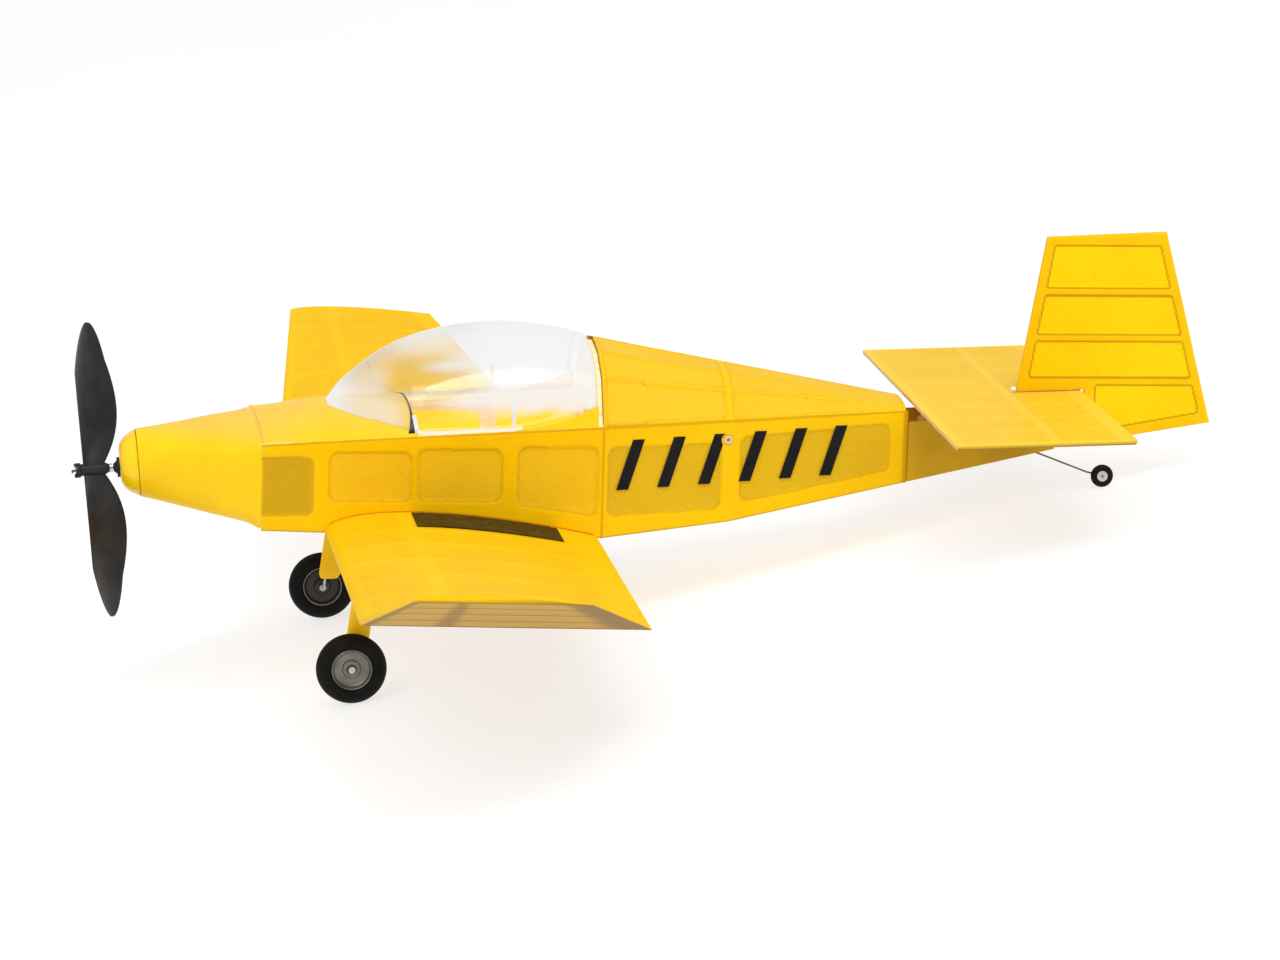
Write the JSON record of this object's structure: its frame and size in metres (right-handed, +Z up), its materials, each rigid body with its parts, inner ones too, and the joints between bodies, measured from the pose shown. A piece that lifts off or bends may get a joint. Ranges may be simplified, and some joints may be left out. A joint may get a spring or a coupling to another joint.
{
  "type": "free-flight model aeroplane",
  "caption": "Rubber-powered low-wing scale model aeroplane with bubble canopy, freewheeling propeller and fixed tail-dragger wheels.",
  "frame": {"origin": "on the ground under the middle of the model, standing on its three wheels", "axes": "+X aft, +Y to starboard, +Z up; the fuselage leans nose-up by the ground angle"},
  "size_m": [0.5685, 0.75, 0.1909],
  "materials": {
    "prop_plastic": "satin",
    "steel_wire": "satin",
    "rubber_strip": "satin",
    "yellow_cowl": "satin",
    "balsa": "matte",
    "yellow_tissue": "satin",
    "panel_black": "matte",
    "marking_black": "matte",
    "walkway_brown": "matte",
    "clear_canopy": "gloss",
    "white_trim": "satin",
    "peg_tube": "satin",
    "tyre_rubber": "matte",
    "hub_metal": "satin",
    "hub_plastic": "satin"
  },
  "bodies": {
    "fuselage": {"nose_former": "balsa", "cowl": "yellow_cowl", "firewall": "balsa", "front_deck": "yellow_cowl", "instrument_panel": "panel_black", "rear_bulkhead": "balsa", "fuselage_formers": "balsa", "longerons": "balsa", "side_left": "balsa", "side_right": "balsa", "cabin_floor": "balsa", "belly_sheets": "yellow_tissue", "covering_left": "yellow_tissue", "covering_right": "yellow_tissue", "sill_fairings": "yellow_cowl", "turtledeck_formers": "balsa", "turtledeck_stringers": "balsa", "turtledeck_covering": "yellow_tissue", "canopy": "clear_canopy", "canopy_frame": "white_trim", "rubber_motor": "rubber_strip", "motor_peg": "peg_tube", "peg_plates": "balsa", "tail_bay_sides": "yellow_tissue", "sternpost": "balsa", "stab_saddle": "balsa", "marking_left": "marking_black", "marking_right": "marking_black", "wing_spar": "balsa", "leading_edge": "balsa", "trailing_edge": "balsa", "wing_ribs": "balsa", "wing_tips": "balsa", "wing_covering_center": "yellow_tissue", "wing_covering_left": "yellow_tissue", "wing_covering_right": "yellow_tissue", "walkways": "walkway_brown", "stab_frame": "balsa", "stab_covering": "yellow_tissue", "rudder_post": "steel_wire", "gear_plates": "balsa", "gear_fairings": "yellow_cowl", "gear_wires": "steel_wire", "wheel_collars": "steel_wire", "tail_wire": "steel_wire"},
    "nose_plug": {"nose_block": "yellow_cowl", "nose_bearing": "prop_plastic"},
    "propeller_group": {"propeller": "prop_plastic", "prop_shaft": "steel_wire", "thrust_washers": "steel_wire", "motor_front_loop": "rubber_strip"},
    "left_wheel": {"tyre_left": "tyre_rubber", "hub_left": "hub_metal"},
    "right_wheel": {"tyre_right": "tyre_rubber", "hub_right": "hub_metal"},
    "tail_wheel": {"tail_tyre": "tyre_rubber", "tail_hub": "hub_plastic"},
    "rudder": {"rudder_frame": "balsa", "rudder_covering": "yellow_tissue"}
  },
  "joints": [
    {"name": "nose_pull", "type": "slide", "parent": "fuselage", "child": "nose_plug", "axis": [-0.9906, 0, 0.1367], "range_m": [0, 0.02]},
    {"name": "prop_spin", "type": "hinge", "parent": "nose_plug", "child": "propeller_group", "pos_m": [-0.27038, 0, 0.1223], "axis": [0.9906, 0, -0.1367], "continuous": true},
    {"name": "left_wheel_spin", "type": "hinge", "parent": "fuselage", "child": "left_wheel", "pos_m": [-0.16926, -0.0935, 0.0173], "axis": [0, 1, 0], "continuous": true},
    {"name": "right_wheel_spin", "type": "hinge", "parent": "fuselage", "child": "right_wheel", "pos_m": [-0.16926, 0.0935, 0.0173], "axis": [0, 1, 0], "continuous": true},
    {"name": "tail_wheel_spin", "type": "hinge", "parent": "fuselage", "child": "tail_wheel", "pos_m": [0.22712, 0, 0.0058], "axis": [0, 1, 0], "continuous": true},
    {"name": "rudder_trim", "type": "hinge", "parent": "fuselage", "child": "rudder", "pos_m": [0.21184, 0, 0.06468], "axis": [0.2225, 0, 0.9749], "range_deg": [-15, 15]}
  ]
}
